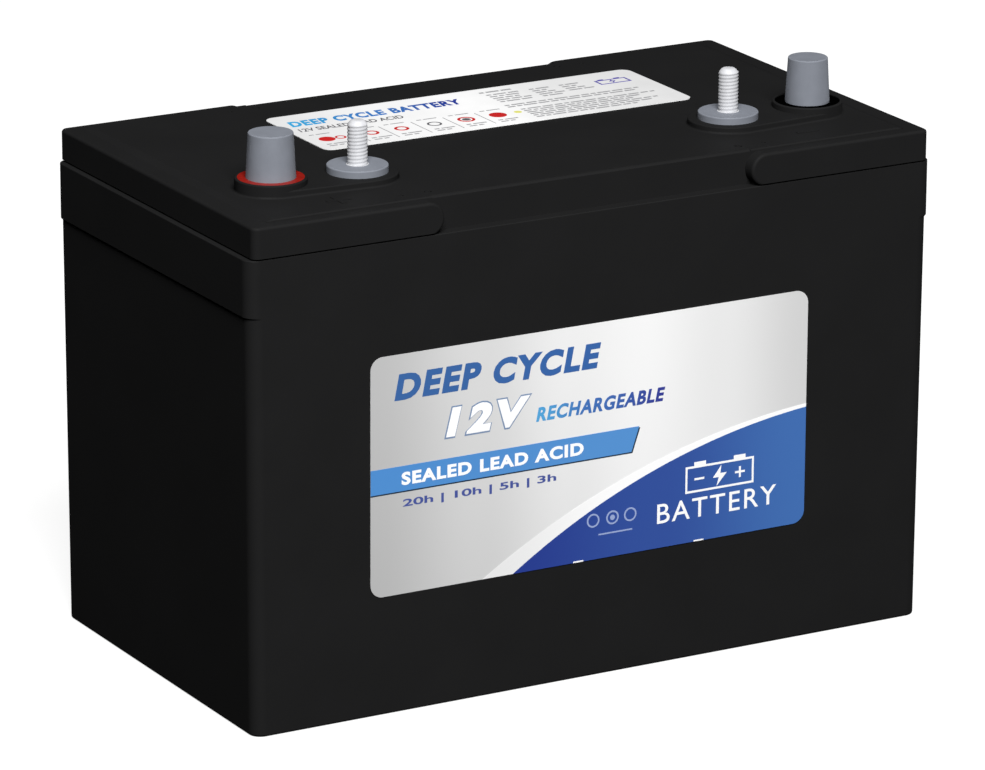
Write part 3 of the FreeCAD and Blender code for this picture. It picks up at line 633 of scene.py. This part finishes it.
def make_stripe(name, drop, past, ink, layer):
    """The stripe's shape, moved down and to the right for its dark edge."""
    bm = bmesh.new()
    add_polygon(bm, ((0, STRIPE_LOW - drop), (STRIPE_END + past, STRIPE_LOW - drop),
                     (STRIPE_END + STRIPE_SLANT + past, STRIPE_HIGH - drop), (0, STRIPE_HIGH - drop)))
    return print_shape(bm, front_sheet, name, ink, layer)


make_stripe("front_label_stripe_edge", 0.55, 0.5, shadow_ink, 1)
make_stripe("front_label_stripe", 0.0, 0.0, stripe_ink, 2)
BOLD = 0.048
for name, word, u, width in (("deep", "DEEP", 10.5, 39.4), ("cycle", "CYCLE", 53.6, 49.8)):
    write_word(front_sheet, "front_label_heading_" + name, word, u, 79.8, width, 10.7, heading_ink,
               slant=11, weight=BOLD, gaps=1.17)
write_word(front_sheet, "front_label_voltage_outline", "12V", 32.6, 60.7, 39.6, 13.4, outline_ink,
           slant=14, weight=0.075, gaps=1.26)
write_word(front_sheet, "front_label_voltage", "12V", 33.4, 61.4, 37.9, 12.1, white_ink,
           slant=14, weight=0.055, gaps=1.28, layer=2)
write_word(front_sheet, "front_label_tagline", "RECHARGEABLE", 73.9, 61.6, 59.2, 6.0, tagline_ink,
           slant=12, weight=0.04, gaps=1.15)
write_word(front_sheet, "front_label_stripe_words", "SEALED LEAD ACID", 13.7, 44.8, 82.0, 5.4, white_ink,
           weight=0.042, gaps=1.13, layer=3)
write_word(front_sheet, "front_label_figures", "20h | 10h | 5h | 3h", 14.3, 35.0, 69.0, 4.0, figures_ink,
           weight=0.022)

# %% [markdown]
# ## The picture and the small signs
# In the blue field stands a plain word with a picture of a battery over it: a case in outline
# with two terminals, a plus, a minus and a bolt. Small rings and a line stand for the signs that
# are printed beside it, and two white ticks on the lower edge mark where the film was cut.

# %% Battery picture, signs and ticks
def add_outline(bm, u, v, width, height, thick):
    """The outline of a rectangle, as four bars that meet edge to edge."""
    add_bar(bm, u, v, width, thick)
    add_bar(bm, u, v + height - thick, width, thick)
    add_bar(bm, u, v + thick, thick, height - 2 * thick)
    add_bar(bm, u + width - thick, v + thick, thick, height - 2 * thick)


def add_bolt(bm, u, v, size):
    """A lightning bolt in a square of the given size."""
    outline = ((0.5, 0.6), (0.85, 0.6), (0.3, 0.0), (0.42, 0.42), (0.1, 0.42), (0.55, 1.0))
    add_polygon(bm, [(u + x * size, v + y * size) for x, y in outline])


write_word(front_sheet, "front_label_field_word", "BATTERY", 130.0, 10.2, 55.8, 8.2, white_ink,
           weight=0.004, gaps=1.15, layer=3)
bm = bmesh.new()
add_outline(bm, 143.0, 20.8, 32.0, 11.2, 0.9)
for u in (147.0, 165.5):
    add_bar(bm, u, 32.0, 5.5, 1.6)
add_bolt(bm, 155.0, 22.0, 8.6)
add_bar(bm, 147.2, 25.9, 4.6, 0.9)
add_bar(bm, 166.2, 25.9, 4.6, 0.9)
for v in (24.05, 26.8):
    add_bar(bm, 168.05, v, 0.9, 1.85)
print_shape(bm, front_sheet, "front_label_picture", white_ink, layer=3)

bm = bmesh.new()
for u in (100.4, 109.3, 117.5):
    add_disc(bm, u, 16.4, 2.9, 2.2)
add_disc(bm, 109.3, 16.4, 1.1)
add_bar(bm, 102.9, 9.8, 15.6, 0.6)
print_shape(bm, front_sheet, "front_label_signs", pale_ink, layer=3)

bm = bmesh.new()
for u in (91.4, 147.2):
    add_bar(bm, u, 0.0, 4.6, 0.6)
print_shape(bm, front_sheet, "front_label_ticks", white_ink, layer=3)

# %% [markdown]
# ## The top label's print
# The top label has a heading, a line of small words, a row of round signs and a block of small
# print. At this size the small print is a texture more than words, so it is made of short bars
# whose lengths vary in a fixed pattern.

# %% Top label
top_heading_ink = make_ink("top_heading_ink", ((along(top_box, 0.02), srgb(60, 165, 215)),
                                               (along(top_box, 0.25), srgb(62, 120, 190)),
                                               (along(top_box, 0.48), srgb(45, 62, 150))))
red_ink = make_ink("red_ink", ((0, srgb(196, 40, 40)),))
line_ink = make_ink("line_ink", ((0, srgb(96, 96, 100)),))
small_ink = make_ink("small_ink", ((0, srgb(160, 160, 162)),))
yellow_ink = make_ink("yellow_ink", ((0, srgb(222, 220, 120)),))
violet_ink = make_ink("violet_ink", ((0, srgb(92, 84, 165)),))
write_word(top_sheet, "top_label_heading", "DEEP CYCLE BATTERY", 4.8, 37.2, 79.4, 8.0, top_heading_ink,
           slant=8, weight=BOLD, gaps=1.12)
write_word(top_sheet, "top_label_line", "12V SEALED LEAD ACID", 4.2, 29.0, 47.6, 4.6, line_ink,
           slant=6, weight=0.02)


SHORT_WORD, LONGER, WORD_GAP = 2.2, 1.3, 0.9
RAGGED = 0.18       # how much of the width the shortest row leaves free


def small_print(bm, u, v, width, rows, step, thick):
    """Rows of short bars: each row is a few words long and ends where its words end."""
    for row in range(rows):
        start = u
        word = 0
        limit = u + width * (1 - RAGGED * ((row * 7) % 3) / 2)
        while True:
            length = SHORT_WORD + LONGER * ((row * 5 + word * 3) % 4)
            if start + length > limit:
                break
            add_bar(bm, start, v - row * step, length, thick)
            start += length + WORD_GAP
            word += 1


bm = bmesh.new()
small_print(bm, 96.4, 47.6, 16.0, 1, 3.0, 1.7)
small_print(bm, 97.4, 43.4, 17.5, 5, 2.9, 1.4)
small_print(bm, 117.4, 43.4, 12.0, 5, 2.9, 1.4)
small_print(bm, 131.4, 43.4, 14.0, 4, 2.9, 1.4)
small_print(bm, 95.9, 25.6, 66.0, 2, 2.6, 1.4)
small_print(bm, 98.9, 17.6, 64.0, 6, 2.6, 1.4)
SIGN_PLACES = (8.4, 14.5, 28.6, 42.2, 57.2, 71.8, 86.4)
for u in SIGN_PLACES:
    if u != SIGN_PLACES[1]:
        small_print(bm, u - 4.0, 7.2, 9.6, 2, 2.5, 1.2)
        small_print(bm, u - 4.0, 22.6, 9.6, 1, 2.5, 1.0)
print_shape(bm, top_sheet, "top_label_small_print", small_ink)
bm = bmesh.new()
for u in (21.9, 35.0, 49.8, 64.4, 79.0):
    add_bar(bm, u, 4.0, 0.5, 18.0)
print_shape(bm, top_sheet, "top_label_dividers", small_ink)

bm = bmesh.new()
for number, radius, hole in ((0, 3.4, 0.0), (1, 2.4, 1.5), (2, 3.1, 1.9), (3, 3.1, 1.9), (5, 3.7, 2.5), (6, 3.7, 0.0)):
    add_disc(bm, SIGN_PLACES[number], 15.2, radius, hole)
print_shape(bm, top_sheet, "top_label_red_signs", red_ink)
bm = bmesh.new()
add_disc(bm, SIGN_PLACES[4], 15.2, 3.1, 2.2)
add_disc(bm, SIGN_PLACES[5], 15.2, 1.8)
print_shape(bm, top_sheet, "top_label_gray_signs", line_ink)
bm = bmesh.new()
add_disc(bm, 95.8, 15.4, 1.7)
print_shape(bm, top_sheet, "top_label_yellow_sign", yellow_ink)
bm = bmesh.new()
add_outline(bm, 147.4, 36.6, 14.6, 6.4, 0.9)
add_bar(bm, 149.4, 43.0, 2.8, 1.1)
add_bar(bm, 157.0, 43.0, 2.8, 1.1)
add_bolt(bm, 152.4, 37.6, 4.6)
print_shape(bm, top_sheet, "top_label_picture", violet_ink)

# %% [markdown]
# ## Floor, lights and camera
# The battery stands on a pale floor that is bright in itself, like a light table, so it carries
# hardly any shadow and throws no light of its own on the walls. One wide soft key light, in
# front, to the left and above, does nearly all the work: the front wall faces it most and the
# left end turns away from it. Two low strips behind and to the right, no higher than the lid,
# light the walls that face away, and leave no highlights. A long lens from far off keeps the
# box's edges nearly parallel.

# %% Floor
FLOOR_GLOW = 0.80
FLOOR_GAP = 0.2 * MM
FLOOR_HALF = 12.0
FLOOR_DARK, FLOOR_LIGHT = (0.28, 0.28, 0.28, 1), (0.32, 0.32, 0.32, 1)
floor_material, floor_tree, floor_shader = new_finish("studio_floor", FLOOR_LIGHT, 0.9, specular=0.0)
floor_tint = blend_colors(floor_tree, spread(floor_tree, grain(floor_tree, 400), 0, 1), FLOOR_DARK, FLOOR_LIGHT)
floor_tree.links.new(floor_tint, floor_shader.inputs["Base Color"])
floor_shader.inputs["Emission Color"].default_value = (1, 1, 1, 1)
floor_shader.inputs["Emission Strength"].default_value = FLOOR_GLOW
bm = bmesh.new()
bmesh.ops.create_grid(bm, x_segments=1, y_segments=1, size=FLOOR_HALF)
bmesh.ops.translate(bm, verts=bm.verts[:], vec=(0, 0, -FLOOR_GAP))
floor_mesh = bpy.data.meshes.new("studio_floor")
bm.to_mesh(floor_mesh)
bm.free()
floor_mesh.materials.append(floor_material)
floor = bpy.data.objects.new("studio_floor", floor_mesh)
bpy.context.scene.collection.objects.link(floor)
floor.visible_diffuse = False
floor.visible_glossy = False


# %% Lights
MIDDLE = 0.1        # half way up the case


def add_soft_light(name, place, toward, size, power, glossy=True):
    """A soft rectangular light at a place, shining toward a point, that the camera doesn't see.

    Without glossy it lights a surface but leaves no highlight on it.
    """
    light = bpy.data.lights.new(name, "AREA")
    light.shape = "RECTANGLE"
    light.size, light.size_y = size
    light.energy = power
    lamp = bpy.data.objects.new(name, light)
    lamp.location = place
    lamp.rotation_euler = (Vector(place) - Vector(toward)).to_track_quat("Z", "Y").to_euler()
    lamp.visible_camera = False
    lamp.visible_glossy = glossy
    bpy.context.scene.collection.objects.link(lamp)


def around(azimuth, elevation, distance):
    """A place round the battery: azimuth in degrees from straight in front, towards +X."""
    turn, rise = math.radians(azimuth), math.radians(elevation)
    return (math.sin(turn) * math.cos(rise) * distance, -math.cos(turn) * math.cos(rise) * distance,
            MIDDLE + math.sin(rise) * distance)


KEY_SIZE, KEY_POWER = (1.6, 1.6), 222
STRIP_SIZE, STRIP_POWER = (0.8, 0.17), 34
add_soft_light("key", around(-23, 47, 3.5), (0, 0, MIDDLE), KEY_SIZE, KEY_POWER)
add_soft_light("low_back", (0.25, 2.2, MIDDLE), (0.25, 0, MIDDLE), STRIP_SIZE, STRIP_POWER, glossy=False)
add_soft_light("low_right", (2.4, 0.32, MIDDLE), (0, 0.32, MIDDLE), STRIP_SIZE, STRIP_POWER, glossy=False)

world = bpy.data.worlds.new("studio_air")
world.use_nodes = True
world.node_tree.nodes["Background"].inputs["Color"].default_value = (1, 1, 1, 1)
world.node_tree.nodes["Background"].inputs["Strength"].default_value = 0.95
world.cycles_visibility.diffuse = False
world.cycles_visibility.glossy = False
world.cycles_visibility.transmission = False
bpy.context.scene.world = world
bpy.context.scene.view_settings.view_transform = "Standard"

# %% Camera
YAW, PITCH_DOWN, ROLL = 29.498, 17.231, 0.2355
CAMERA_PLACE = (-1.228513, -2.170717, 0.871066)
LENS_MM, SENSOR_MM = 237.962, 36.0
camera_data = bpy.data.cameras.new("long_lens")
camera_data.sensor_width = SENSOR_MM
camera_data.lens = LENS_MM
camera_data.clip_end = 50.0
camera = bpy.data.objects.new("long_lens", camera_data)
aim = (Matrix.Rotation(math.radians(-YAW), 4, "Z") @ Matrix.Rotation(math.radians(90 - PITCH_DOWN), 4, "X")
       @ Matrix.Rotation(math.radians(ROLL), 4, "Z"))
camera.matrix_world = Matrix.Translation(CAMERA_PLACE) @ aim
bpy.context.scene.collection.objects.link(camera)
bpy.context.scene.camera = camera
